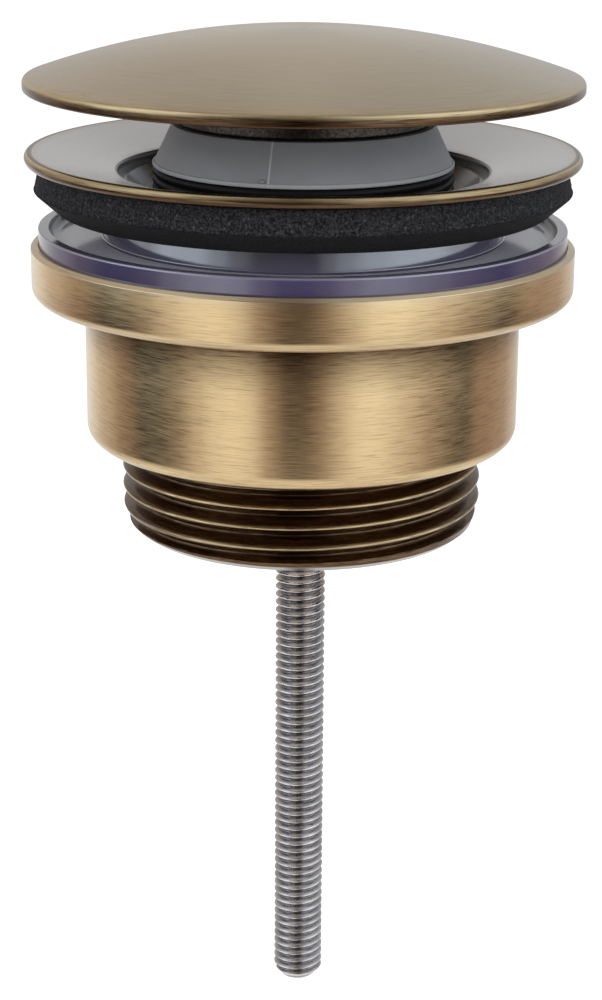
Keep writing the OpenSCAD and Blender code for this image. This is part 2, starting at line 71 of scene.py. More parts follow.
cap_r, _, cap_top = span("plug_cap")
hub_r, neck_bottom, pad_z = span("plug_hub")
carrier_r, spigot_bottom, hub_bottom = span("seal_carrier")
seal_r, seal_bottom, seal_top = span("plug_seal")
flange_r, sleeve_bottom, flange_top = span("basin_flange")
foam_r, foam_bottom, _ = span("foam_washer")
gasket_r, gasket_bottom, gasket_top = span("clear_gasket")
ring_r, tail_bottom, ring_top = span("tail_body")
head_r, rod_bottom, head_top = span("tie_bolt")
_, barrel_bottom, _ = span("cartridge_barrel")
insert_r, boss_bottom, boss_top = span("rod_insert")
spring_outer_r, spring_bottom, spring_top = span("return_spring")
_, floor_top, _ = span("bolt_washer")

# Plug
DOME_R = 93.3
CAP_T = 1.3
CAP_EDGE = 0.25
CAP_CROWN = 0.6
PAD_MARGIN = 0.6
HUB_ROUND = 0.4
NECK_R = 6.0
NECK_ROUND = 0.3
STUD_R = 2.05
STUD_GRIP = 7.05
CARRIER_H = 4.7
CARRIER_WALL = 1.5
CARRIER_MARGIN = 0.45
CARRIER_LIP = 0.5
CARRIER_LIP_ROUND = 0.15
SPIGOT_BEAD = 1.2
CARRIER_NIB = 0.32
CARRIER_NIB_ANGLE = 255.0
SEAL_W = 2.6
SEAL_RIBS = 3
SEAL_GROOVE = 0.5
SEAL_STEPS = 12
FIT = 0.05
# Flange and foam
PLATE_T = 1.3
DISH = math.tan(math.radians(12.9))
RECESS_R = 21.0
RECESS_STEP = 1.0
RECESS_LEDGE = 1.0
THROAT_ROUND = 0.3
SEAT_R = 17.4
SEAT_Z = -0.3
THROAT_R = 21.5
THROAT_LOW_R = 19.4
THROAT_TAPER = 2.0
THROAT_BOTTOM = -10.3
ARM_COUNT = 4
ARM_W = 4.0
ARM_H = 3.0
SLEEVE_R = 9.0
SLEEVE_BORE_R = 7.0
SLEEVE_ROUND = 0.3
HEAD_POCKET_R = 6.3
BOLT_R = 3.0
RUN = 0.08
FOAM_BORE_R = 22.9
FOAM_BEVEL = 2.5
FOAM_WAIST = 2.2
FOAM_TAPER = 0.5
FOAM_ROUND = 0.8
# Gasket
GASKET_BORE_R = 21.7
GASKET_RIM = 1.2
GASKET_TROUGH = 1.2
LIP_T = 0.6
LIP_H = 1.2
LIP_LEAN = math.tan(math.radians(10))
LIP_FOOT = 0.3
LIP_ROUND = 0.15
# Tail
RING_FIT = 0.06
RING_H = 5.85
RING_EDGE = 0.4
RING_ROUND = 1.2
CUP_R = 25.0
CUP_BORE_R = 22.5
CUP_L = 16.9
CUP_FLOOR = 2.0
CUP_ROUND = 1.8
THREAD_R = 20.955
THREAD_PITCH = 2.309
THREAD_DEPTH = 1.479
THREAD_START = -30.33
THREAD_SHARPNESS = 1.6
THREAD_STEPS = 28
# How thin the thread's crest stays bright, a painted highlight between painted shade
CREST_POWER = 36
OUTLET_WALL = 1.7
OUTLET_CHAMFER = 0.6
OUTLET_LEAD = 2.2
BOSS_R = 6.2
BOSS_ROUND = 0.3
# Tie bolt and spring
ROD_PITCH = 1.0
ROD_STEPS = 14
ROD_SHARPNESS = 1.4
ROD_EASE = 0.02
ROD_DEPTH = 0.6134
ROD_TIP = 1.2
ROD_TIP_SLOPE = 0.9
ROD_NECK = 0.5
HEAD_H = 3.8
SOCKET_AF = 4.0
WIRE_R = 0.35
WIRE_SIDES = 14
SPRING_TURNS = 3.5
SPRING_DEAD = 0.6
SPRING_POINTS = 141

# Marks on surfaces: the first mark darkens below 0 and brightens above. On brass, steel and grey plastic it
# mostly paints shade and highlights, on the foam it marks cut cells, and on the gasket it sets gloss. Pale
# goes from golden to grey
UNMARKED = (0.0, 0.0)
DOME_PALE = 0.35
# Painted shade on the thread away from its crest
THREAD_PAINTED_SHADE = -0.86
FOAM_GRAIN = 0.10
FOAM_GRAIN_SCALE = 2.2
GASKET_SIDE_GLOSS = 0.45
PARTING_ANGLE = 257.1
# Painted shade on the cup at depths below the ring, darkest just under it
CORNER_SHADE = [(0.5, -0.85), (1.4, -0.82), (1.8, -0.7), (2.4, -0.56), (3.4, -0.4), (4.6, -0.18), (6.2, 0.0)]


# Outlines and meshes

def arc(r, z, radius, start, end, steps=10):
    """Points of an arc around (r, z), from one angle to another in degrees."""
    angles = np.radians(np.linspace(start, end, steps + 1))
    return [(r + radius * math.cos(a), z + radius * math.sin(a)) for a in angles]


def soften(points, steps=4):
    """Rounds each corner (r, z, radius) of an outline and leaves a (r, z) corner as it is."""
    out = []
    for i, point in enumerate(points):
        if len(point) == 2:
            out.append(point)
            continue
        here = np.array(point[:2])
        before = np.array(points[i - 1][:2]) - here
        after = np.array(points[(i + 1) % len(points)][:2]) - here
        before /= np.linalg.norm(before)
        after /= np.linalg.norm(after)
        half = math.acos(max(-1.0, min(1.0, float(before @ after)))) / 2
        reach = point[2] / math.tan(half)
        middle = here + (before + after) / np.linalg.norm(before + after) * point[2] / math.sin(half)
        start = here + before * reach - middle
        end = here + after * reach - middle
        out.append(tuple(here + before * reach * ROUND_LEAD))
        for t in np.linspace(0, 1, steps + 1):
            way = start * (1 - t) + end * t
            out.append(tuple(middle + way / np.linalg.norm(way) * point[2]))
        out.append(tuple(here + after * reach * ROUND_LEAD))
    return out


def marked(points, wear_and_painted_light=0.0, pale=0.0):
    """Rows (r, z, mark, pale) of a stretch, the mark holding wear and painted light; a pair of values runs
    from its first point to its last.
    """
    wear_and_light_values, pales = [np.linspace(*(value if isinstance(value, tuple) else (value, value)), len(points))
                    for value in (wear_and_painted_light, pale)]
    return [(r, z, w, p) for (r, z), w, p in zip(points, wear_and_light_values, pales)]


def spin(rows, segments=SEGMENTS):
    """Vertices, faces and marks of a closed outline turned about Z. A row is (r, z) or (r, z, mark, pale),
    the mark holding wear and painted light.
    """
    turn = np.linspace(0, 2 * math.pi, segments, endpoint=False)
    vertices, marks, rings = [], [], []
    for r, z, *mark in rows:
        wear_and_painted_light, pale = mark or UNMARKED
        count = 1 if np.isscalar(r) and r == 0 else segments
        rings.append(range(len(vertices), len(vertices) + count))
        around = np.broadcast_to(r, count)
        vertices.extend(zip(around * np.cos(turn[:count]), around * np.sin(turn[:count]), [z] * count))
        marks.extend(zip(np.broadcast_to(wear_and_painted_light, count), np.broadcast_to(pale, count)))
    faces = []
    pairs = list(zip(rings, rings[1:] + rings[:1]))
    if len(rings[0]) == 1:
        pairs.pop()
    for a, b in pairs:
        for j in range(segments):
            k = (j + 1) % segments
            if len(a) == 1:
                faces.append((a[0], b[j], b[k]))
            elif len(b) == 1:
                faces.append((a[j], b[0], a[k]))
            else:
                faces.append((a[j], b[j], b[k], a[k]))
    return vertices, faces, marks


def moved(part, x, y, z):
    """The same part, shifted."""
    vertices, faces, marks = part
    return [(a + x, b + y, c + z) for a, b, c in vertices], faces, marks


def bar(r_in, r_out, angle, width, low, high):
    """Vertices, faces and marks of a radial arm."""
    c, s = math.cos(angle), math.sin(angle)
    half = width / 2
    corners = [(r, t, z) for z in (low, high) for r, t in
               ((r_in, -half), (r_out, -half), (r_out, half), (r_in, half))]
    vertices = [(r * c - t * s, r * s + t * c, z) for r, t, z in corners]
    faces = [(3, 2, 1, 0), (4, 5, 6, 7), (0, 1, 5, 4), (1, 2, 6, 5), (2, 3, 7, 6), (3, 0, 4, 7)]
    return vertices, faces, [UNMARKED] * len(vertices)


def arms(r_in, r_out, low):
    """The radial arms between a sleeve and the wall around it."""
    return [bar(r_in, r_out, math.tau * (i + 0.5) / ARM_COUNT, ARM_W, low, low + ARM_H)
            for i in range(ARM_COUNT)]


def piece(name, parts, body, node, material):
    """Joins the parts in one object, which stands for the node and rides on its body."""
    vertices, faces, marks = [], [], []
    for part_vertices, part_faces, part_marks in parts:
        first = len(vertices)
        vertices.extend(part_vertices)
        faces.extend(tuple(first + i for i in face) for face in part_faces)
        marks.extend(part_marks)
    mesh = bpy.data.meshes.new(name)
    mesh.from_pydata([(x * MM, y * MM, z * MM) for x, y, z in vertices], [], faces)
    for attribute, values in zip(("wear_and_painted_light", "pale"), zip(*marks)):
        mesh.attributes.new(attribute, "FLOAT", "POINT").data.foreach_set("value", values)
    mesh.polygons.foreach_set("use_smooth", [True] * len(mesh.polygons))
    mesh.set_sharp_from_angle(angle=math.radians(SHARP_ANGLE))
    mesh.materials.append(material)
    mesh.update()
    made = bpy.data.objects.new(name, mesh)
    bpy.context.collection.objects.link(made)
    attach(made, body)
    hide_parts(node)
    return made


# Materials

class Nodes:
    """The node tree of a material or a world, with short calls to add nodes and join them."""

    def __init__(self, owner):
        owner.use_nodes = True
        self.owner = owner
        self.tree = owner.node_tree

    def add(self, kind, settings=None, output=0, **inputs):
        made = self.tree.nodes.new("ShaderNode" + kind)
        for key, value in (settings or {}).items():
            setattr(made, key, value)
        for key, value in inputs.items():
            numbered = key[0] == "i" and key[1:].isdigit()
            self.put(made, int(key[1:]) if numbered else key.replace("_", " "), value)
        return made.outputs[output]

    def put(self, made, key, value):
        socket = made.inputs[key]
        if isinstance(value, bpy.types.NodeSocket):
            self.tree.links.new(value, socket)
        else:
            socket.default_value = value

    def math(self, operation, a, b=0.0, clamp=False):
        return self.add("Math", {"operation": operation, "use_clamp": clamp}, i0=a, i1=b)

    def span(self, value, low, high, to_low=0.0, to_high=1.0):
        return self.add("MapRange", Value=value, From_Min=low, From_Max=high, To_Min=to_low, To_Max=to_high)

    def mix(self, factor, a, b):
        return self.add("Mix", {"data_type": "RGBA"}, 2, i0=factor, i6=a, i7=b)

    def split(self, vector):
        made = self.tree.nodes.new("ShaderNodeSeparateXYZ")
        self.put(made, 0, vector)
        return made.outputs

    def ramp(self, value, stops):
        made = self.tree.nodes.new("ShaderNodeValToRGB")
        made.color_ramp.interpolation = "EASE"
        elements = made.color_ramp.elements
        while len(elements) < len(stops):
            elements.new(0.5)
        for element, (place, shade) in zip(elements, stops):
            element.position = place
            element.color = shade
        self.put(made, 0, value)
        return made.outputs[0]

    def attribute(self, name):
        return self.add("Attribute", {"attribute_name": name}, 2)

    def finish(self, **inputs):
        for key, value in inputs.items():
            self.put(self.tree.nodes["Principled BSDF"], key.replace("_", " "), value)
        return self.owner

    def around(self, turns, grain):
        """Coordinates that run along a turned surface: slow around the axis, fast across it."""
        x, y, z = self.split(self.add("TexCoord", output=3))
        r = self.math("SQRT", self.math("ADD", self.math("MULTIPLY", x, x), self.math("MULTIPLY", y, y)))
        safe = self.math("MAXIMUM", r, 1e-5)
        slow_x = self.math("MULTIPLY", self.math("DIVIDE", x, safe), turns)
        slow_y = self.math("MULTIPLY", self.math("DIVIDE", y, safe), turns)
        vector = self.add("CombineXYZ", X=slow_x, Y=slow_y, Z=self.math("MULTIPLY", z, grain))
        return vector, self.math("MULTIPLY", r, grain)

    def rings_noise(self, turns, grain, detail=2.0):
        vector, w = self.around(turns, grain)
        return self.add("TexNoise", {"noise_dimensions": "4D"}, Vector=vector, W=w, Scale=1.0, Detail=detail)

    def cloud(self, scale, detail=3.0):
        return self.add("TexNoise", Vector=self.add("TexCoord", output=3), Scale=scale, Detail=detail)

    def bump(self, height, strength, distance):
        return self.add("Bump", Height=height, Strength=strength, Distance=distance)


def colour(r, g, b):
    return (r, g, b, 1.0)


def new_material(name):
    return Nodes(bpy.data.materials.new(name))


def brushed_brass():
    """Antique brass, brushed around the axis and greyer where pale. The mark brightens it into painted
    highlights on rim edges, and darkens it to brown as painted shade on rims, in the recess, in thread roots
    and under the ring.
    """
    n = new_material("antique_brass")
    hair = n.rings_noise(11.0, 13000.0, 2.0)
    scratch = n.rings_noise(5.0, 8000.0, 2.0)
    stain = n.cloud(70.0)
    pale = n.attribute("pale")
    level = n.math("ADD", n.span(hair, 0.26, 0.5, -0.32, 0.06), n.span(scratch, 0.28, 0.5, -0.15, 0.04))
    level = n.math("ADD", level, n.span(stain, 0.3, 0.7, -0.04, 0.04))
    level = n.math("MULTIPLY", level, n.span(pale, 0.0, 0.4, 1.0, 0.25))
    level = n.math("ADD", n.math("ADD", level, n.attribute("wear_and_painted_light")), 0.88, clamp=True)
    # Its dark brown end is the colour of the painted shade
    golden = n.mix(level, colour(0.08, 0.038, 0.016), colour(0.87, 0.65, 0.35))
    silver = n.mix(level, colour(0.045, 0.043, 0.043), colour(0.80, 0.78, 0.775))
    return n.finish(
        Base_Color=n.mix(pale, golden, silver), Metallic=1.0,
        Roughness=n.span(hair, 0.3, 0.7, 0.17, 0.27), Anisotropic=0.5, Anisotropic_Rotation=0.25,
        Tangent=n.add("Tangent", {"direction_type": "RADIAL", "axis": "Z"}),
        Coat_Weight=0.25, Coat_Roughness=0.18,
        Normal=n.bump(hair, 0.06, 0.00002))


def dark_bronze():
    """Cast bronze, nearly black, with a grainy skin that glints."""
    n = new_material("dark_bronze")
    grain = n.cloud(2600.0, 2.0)
    return n.finish(
        Base_Color=n.mix(grain, colour(0.002, 0.0015, 0.0015), colour(0.12, 0.096, 0.08)), Metallic=0.9,
        Roughness=n.span(grain, 0.3, 0.7, 0.3, 0.15), Normal=n.bump(grain, 0.5, 0.00008))


def grey_plastic():
    """Moulded grey plastic with a satin skin. A lighter line down the front and back is a painted highlight
    on the parting line's ridge, and there is a painted highlight wherever the mark is set.
    """
    n = new_material("grey_plastic")
    grain = n.cloud(1800.0, 3.0)
    patch = n.cloud(220.0, 2.0)
    base = n.mix(patch, colour(0.225, 0.225, 0.235), colour(0.305, 0.305, 0.318))
    x, y, _ = n.split(n.add("TexCoord", output=3))
    parting = math.radians(PARTING_ANGLE)
    aside = n.math("ADD", n.math("MULTIPLY", x, math.sin(parting)), n.math("MULTIPLY", y, -math.cos(parting)))
    line = n.span(n.math("ABSOLUTE", aside), 0.06 * MM, 0.12 * MM, 1.0, 0.0)
    # Painted highlight: lighter along the parting line and where the mark is set, as on the carrier's lip
    painted_highlight = n.math("MAXIMUM", n.math("MULTIPLY", line, 0.6), n.attribute("wear_and_painted_light"))
    return n.finish(
        Base_Color=n.mix(painted_highlight, base, colour(0.62, 0.62, 0.64)),
        Roughness=n.span(patch, 0.3, 0.7, 0.42, 0.55), Normal=n.bump(grain, 0.15, 0.00005))


def black_rubber():
    """Moulded black rubber, matt."""
    n = new_material("black_rubber")
    grain = n.cloud(1500.0, 3.0)
    return n.finish(
        Base_Color=n.mix(grain, colour(0.004, 0.0035, 0.004), colour(0.012, 0.011, 0.012)),
        Roughness=n.span(grain, 0.3, 0.7, 0.45, 0.6), Specular_IOR_Level=0.35,
        Normal=n.bump(grain, 0.2, 0.00005))


def black_foam():
    """Closed cell foam: a smooth black skin, and pale specks where wear says that its cells are cut open."""
    n = new_material("black_foam")
    pores = n.cloud(4300.0, 2.0)
    grain = n.cloud(3000.0, 3.0)
    cut = n.attribute("wear_and_painted_light")
    speck = n.math("MULTIPLY", n.span(grain, 0.58, 0.8), cut)
    open_cells = n.math("MULTIPLY", n.span(pores, 0.4, 0.62), n.span(cut, 0.0, 1.0, 0.35, 1.0))
    base = n.mix(open_cells, colour(0.003, 0.003, 0.0033), colour(0.024, 0.0235, 0.026))
    return n.finish(
        Base_Color=n.mix(speck, base, colour(0.07, 0.07, 0.075)),
        Roughness=0.8, Specular_IOR_Level=0.22,
        Normal=n.add("Bump", Height=grain, Strength=n.span(cut, 0.0, 1.0, 0.15, 0.9), Distance=0.0002))


def clear_pvc():
    """Soft clear plastic with a violet cast, glossy by wear and milky where pale."""
    n = new_material("clear_pvc")
    ripple = n.rings_noise(2.0, 500.0, 2.0)
    violet = n.mix(ripple, colour(0.05, 0.043, 0.1), colour(0.072, 0.062, 0.135))
    return n.finish(
        Base_Color=n.mix(n.attribute("pale"), violet, colour(0.9, 0.88, 1.0)),
        Roughness=0.09, IOR=1.5, Transmission_Weight=0.3, Coat_Weight=n.attribute("wear_and_painted_light"),
        Coat_Roughness=0.09, Coat_IOR=2.5, Normal=n.bump(ripple, 0.05, 0.0001))


def steel(name="steel", base=(0.95, 0.9, 0.9)):
    """Zinc plated steel with fine turning marks, with painted shade in the roots of a thread."""
    n = new_material(name)
    mark = n.rings_noise(4.0, 5000.0, 2.0)
    stain = n.cloud(500.0, 3.0)
    dull = colour(*(0.7 * c for c in base))
    clean = n.mix(n.span(stain, 0.35, 0.7), colour(*base), dull)
    return n.finish(
        Base_Color=n.mix(n.attribute("wear_and_painted_light"), clean, colour(*(0.25 * c for c in base))), Metallic=1.0,
        Roughness=n.span(mark, 0.3, 0.7, 0.2, 0.32), Normal=n.bump(mark, 0.1, 0.00003))


def white_plastic():
    """Smooth moulded plastic of the latch."""
    n = new_material("white_plastic")
    grain = n.cloud(900.0, 2.0)
    return n.finish(
        Base_Color=n.mix(grain, colour(0.72, 0.71, 0.66), colour(0.82, 0.81, 0.76)),
        Roughness=n.span(grain, 0.3, 0.7, 0.35, 0.5), Normal=n.bump(grain, 0.1, 0.00005))


BRASS = brushed_brass()
BRONZE = dark_bronze()
GREY = grey_plastic()
RUBBER = black_rubber()
FOAM = black_foam()
PVC = clear_pvc()
STEEL = steel()
PLAIN_BRASS = steel("plain_brass", (0.70, 0.54, 0.28))
WHITE = white_plastic()

FINISH = {
    "carrier_washer": STEEL, "plug_stud": STEEL, "bolt_washer": STEEL,
    "carrier_nut": PLAIN_BRASS, "plunger": PLAIN_BRASS, "cartridge_barrel": PLAIN_BRASS,
    "cartridge_gland": PLAIN_BRASS, "spring_seat": PLAIN_BRASS, "rod_insert": PLAIN_BRASS,
    "latch_rotor": WHITE, "latch_sleeve": WHITE, "gland_o_ring": RUBBER,
}
for node_name, material in FINISH.items():
    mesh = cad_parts[node_name].data
    mesh.materials.clear()
    mesh.materials.append(material)


# Plug

def plug_cap():
    """A thin dome with a rounded crown edge, a dark rim that is painted shade with a painted highlight along
    its crown, and a flat pad under its middle.
    """
    rim_r = cap_r - CAP_EDGE
    inner_r = DOME_R - CAP_T
    dome_z = cap_top - DOME_R
    crown_r = cap_r - CAP_CROWN
    high_z = dome_z + math.sqrt((DOME_R - CAP_CROWN) ** 2 - crown_r ** 2)
    low_z = dome_z + math.sqrt((inner_r + CAP_EDGE) ** 2 - rim_r ** 2)
    tilt = math.degrees(math.asin(crown_r / (DOME_R - CAP_CROWN)))
    tilt_in = math.degrees(math.asin(rim_r / (inner_r + CAP_EDGE)))
    pad_r = hub_r + PAD_MARGIN
    pad_tilt = math.degrees(math.asin(pad_r / inner_r))
    dome = arc(0, dome_z, DOME_R, 90, 90 - tilt, 48)
    rows = marked([(0, cap_top)] + dome[1:-4], 0.0, DOME_PALE)
    rows += marked(dome[-4:], 0.0, (DOME_PALE, 0.2))
    # Painted highlight on the crown's upper round, then painted shade down its lower round, the rim's side
    # and its lower edge
    crown = arc(crown_r, high_z, CAP_CROWN, 90 - tilt, 0, 10)
    rows += marked(crown[1:7], (0.0, 0.1), 0.1) + marked(crown[7:], (-0.2, -0.7))
    rows += marked([(cap_r, high_z - 0.12), (cap_r, low_z)], (-0.84, -0.92))
    rows += marked(arc(rim_r, low_z, CAP_EDGE, 0, -90 - tilt_in, 8)[1:], -0.95)
    # Painted shade on the dome's underside
    rows += marked(arc(0, dome_z, inner_r, 90 - tilt_in, 90 - pad_tilt, 20)[1:], -0.7, 0.3)
    rows += [(pad_r, pad_z), (0, pad_z)]
    return piece("cap", [spin(rows)], "plug", "plug_cap", BRASS)


def plug_hub():
    outline = soften([
        (0, pad_z), (hub_r, pad_z), (hub_r, hub_bottom, HUB_ROUND), (NECK_R, hub_bottom),
        (NECK_R, neck_bottom, NECK_ROUND), (STUD_R, neck_bottom), (STUD_R, neck_bottom + STUD_GRIP),
        (0, neck_bottom + STUD_GRIP)])
    return piece("hub", [spin(outline)], "plug", "plug_hub", BRONZE)


def seal_carrier():
    cone_bottom = hub_bottom - CARRIER_H
    top_r = hub_r + CARRIER_MARGIN
    spigot_r = seal_r - SEAL_W - FIT
    spigot_lip = seal_bottom - FIT
    cone = soften([(NECK_R + FIT, hub_bottom), (top_r, hub_bottom, 0.12),
                   (carrier_r - CARRIER_LIP / 2, cone_bottom + CARRIER_LIP, 0.1),
                   (carrier_r, cone_bottom + CARRIER_LIP)])[:-1]
    lip = soften([(carrier_r - CARRIER_LIP / 2, cone_bottom + CARRIER_LIP),
                  (carrier_r, cone_bottom + CARRIER_LIP, CARRIER_LIP_ROUND),
                  (carrier_r, cone_bottom, CARRIER_LIP_ROUND), (spigot_r, cone_bottom)])[1:-1]
    inside = [(spigot_r, cone_bottom), (spigot_r, spigot_lip), (spigot_r + SPIGOT_BEAD, spigot_lip),
              (spigot_r + SPIGOT_BEAD, spigot_bottom), (spigot_r - CARRIER_WALL, spigot_bottom),
              (spigot_r - CARRIER_WALL, hub_bottom - CARRIER_WALL), (NECK_R + FIT, hub_bottom - CARRIER_WALL)]
    # The lip's mark of 0.4 paints a highlight along it
    outline = marked(cone) + marked(lip, 0.4) + marked(inside)
    angle = math.radians(CARRIER_NIB_ANGLE)
    nib_r = carrier_r - CARRIER_LIP / 2
    ball = arc(0, 0, CARRIER_NIB, 90, -90, 12)
    nib = moved(spin([(0, CARRIER_NIB)] + ball[1:-1] + [(0, -CARRIER_NIB)], NIB_SEGMENTS),
                nib_r * math.cos(angle), nib_r * math.sin(angle),
                cone_bottom + CARRIER_LIP + CARRIER_NIB * 0.6)
    return piece("carrier", [spin(outline), nib], "plug", "seal_carrier", GREY)


def plug_seal():
    pitch = (seal_top - seal_bottom) / SEAL_RIBS
    inner_r = seal_r - SEAL_W
    heights = np.linspace(seal_top, seal_bottom, SEAL_RIBS * SEAL_STEPS + 1)
    outline = [(inner_r, seal_top)]
    for z in heights:
        swell = abs(math.sin(math.pi * (seal_top - z) / pitch)) ** 0.5
        outline.append((seal_r - SEAL_GROOVE * (1 - swell), z))
    outline.append((inner_r, seal_bottom))
    return piece("seal", [spin(outline)], "plug", "plug_seal", RUBBER)


# Flange

def under(r):
    """Height of the dished plate's underside at radius r."""
    rim = PLATE_T / 2
    return flange_top - rim - rim / math.cos(math.atan(DISH)) + (r - flange_r + rim) * DISH


def plate_top(r):
    """Height of the dished plate's upper side at radius r."""
    return under(r) + PLATE_T / math.cos(math.atan(DISH))


def basin_flange():
    rim = PLATE_T / 2
    tilt = math.degrees(math.atan(DISH))
    rim_r, rim_z = flange_r - rim, flange_top - rim
    top_z = plate_top(RECESS_R)
    ledge_z = top_z - RECESS_STEP
    dish = [(r, plate_top(r)) for r in np.linspace(RECESS_R + 0.4, rim_r - 0.3, 12)]
    # Painted shade in the recess: its wall and top edge dark grey to near black
    rows = marked([(RECESS_R, ledge_z), (RECESS_R, top_z - 0.25)], -0.88, 1.0)
    rows += marked([(RECESS_R + 0.07, top_z - 0.07), (RECESS_R + 0.25, top_z + 0.03)], (-0.95, -0.9), 1.0)
    # The dish is plain pale brass. Its last row and the rim's inner round are painted darker as a line of
    # painted shade. The rim's upper round is a painted highlight fading to painted shade, and its lower round
    # is painted shade
    rows += marked(dish[:-1], 0.0, 1.0) + marked(dish[-1:], -0.1, 0.7)
    rows += marked(arc(rim_r, rim_z, rim, 90 + tilt, 68, 4), -0.74, 0.2)
    rows += marked(arc(rim_r, rim_z, rim, 58, 0, 8), (0.12, -0.8))
    rows += marked(arc(rim_r, rim_z, rim, -12, -90 + tilt, 8), (-0.9, -0.98))
    # Painted shade: the throat a little darker, and the seat and ledge seen in the recess dark grey
    throat = [(THROAT_R, under(THROAT_R)), (THROAT_R, SEAT_Z), (THROAT_LOW_R, SEAT_Z - THROAT_TAPER)]
    rows += marked(throat, -0.2)
    low_edge = soften([(THROAT_LOW_R, SEAT_Z), (THROAT_LOW_R, THROAT_BOTTOM, THROAT_ROUND),
                       (SEAT_R, THROAT_BOTTOM, THROAT_ROUND), (SEAT_R, SEAT_Z, THROAT_ROUND),
                       (RECESS_R - RECESS_LEDGE, ledge_z)])[1:-1]
    rows += marked(low_edge, -0.86, 1.0)
    rows += marked([(RECESS_R - RECESS_LEDGE, ledge_z), (RECESS_R - 0.15, ledge_z)], -0.8, 1.0)
    sleeve_top = THROAT_BOTTOM + ARM_H
    sleeve = soften([
        (SLEEVE_R, sleeve_top, 0.2), (SLEEVE_R, sleeve_bottom, SLEEVE_ROUND), (BOLT_R + RUN, sleeve_bottom),
        (BOLT_R + RUN, floor_top), (HEAD_POCKET_R, floor_top), (HEAD_POCKET_R, barrel_bottom - FIT),
        (SLEEVE_BORE_R, barrel_bottom - FIT), (SLEEVE_BORE_R, sleeve_top)])
    spokes = arms(SLEEVE_R - 1, SEAT_R + 1, THROAT_BOTTOM)
    return piece("flange", [spin(rows), spin(sleeve, SLEEVE_SEGMENTS)] + spokes, "flange", "basin_flange",
                 BRASS)


def foam_washer():
    """The washer's bevel keeps its skin, and the side above it is cut and grainy."""
    top_r = foam_r - FOAM_TAPER
    bevel = soften([(FOAM_BORE_R, foam_bottom), (foam_r - FOAM_BEVEL, foam_bottom, FOAM_ROUND),
                    (foam_r, FOAM_WAIST)])
    side_low, side_high = np.array((foam_r, FOAM_WAIST)), np.array((top_r, under(top_r) - FIT))
    side = [tuple(side_low + (side_high - side_low) * t) for t in np.linspace(0.04, 1, 12)]
    rows = marked(bevel, 0.0) + marked(side, 1.0) + marked([(FOAM_BORE_R, under(FOAM_BORE_R) - FIT)], 1.0)
    vertices, faces, marks = spin(rows, FOAM_SEGMENTS)
    grained = []
    for (x, y, z), (cut, _) in zip(vertices, marks):
        r = math.hypot(x, y)
        grain = noise.noise(Vector((x, y, z)) * FOAM_GRAIN_SCALE) - 1
        depth = cut * FOAM_GRAIN * grain * (r > top_r - 1)
        grained.append((x * (1 + depth / r), y * (1 + depth / r), z))
    made = piece("foam", [(grained, faces, marks)], "flange", "foam_washer", FOAM)
    return made


# Tail

def clear_gasket():
    """A ring with a flat rim, a trough inside it and a tapered lip around its bore."""
    rim_z = gasket_top - LIP_H
    floor_z = rim_z - GASKET_TROUGH
    lip_r = GASKET_BORE_R + LIP_T
    foot_r = lip_r + (gasket_top - floor_z) * LIP_LEAN
    edge_r = gasket_r - GASKET_RIM
    trough_r = edge_r - GASKET_TROUGH
    rim = soften([(edge_r, floor_z), (edge_r, rim_z, 0.12), (gasket_r, rim_z, 0.18),
                  (gasket_r, gasket_bottom)])[1:-1]
    lip = soften([(GASKET_BORE_R, gasket_bottom), (GASKET_BORE_R, gasket_top, LIP_ROUND),
                  (lip_r, gasket_top, LIP_ROUND), (foot_r, floor_z, LIP_FOOT), (trough_r, floor_z)])[:-1]
    trough = lip[-2:] + arc(trough_r, rim_z, GASKET_TROUGH, -90, -8, 14)
    # The trough is painted milky white, a painted highlight standing for the glare in it
    rows = marked(lip[:-2], 1.0, (0.0, 0.1)) + marked(trough, 0.1, 1.0) + marked(rim, 1.0, 0.12)
    rows += marked([(gasket_r, rim_z - 0.25), (gasket_r, gasket_bottom)], GASKET_SIDE_GLOSS)
    return piece("gasket", [spin(rows)], "tail", "clear_gasket", PVC)


def screw(height, pitch, depth, sharpness, segments):
    """How far a right-handed thread stands above its root at a height, all around, from 0 to depth."""
    turn = np.linspace(0, 1, segments, endpoint=False)
    phase = (height / pitch - turn) % 1.0
    wave = 1 - 4 * np.abs(phase - 0.5)
    return depth * (0.5 + 0.5 * np.tanh(sharpness * wave) / math.tanh(sharpness))


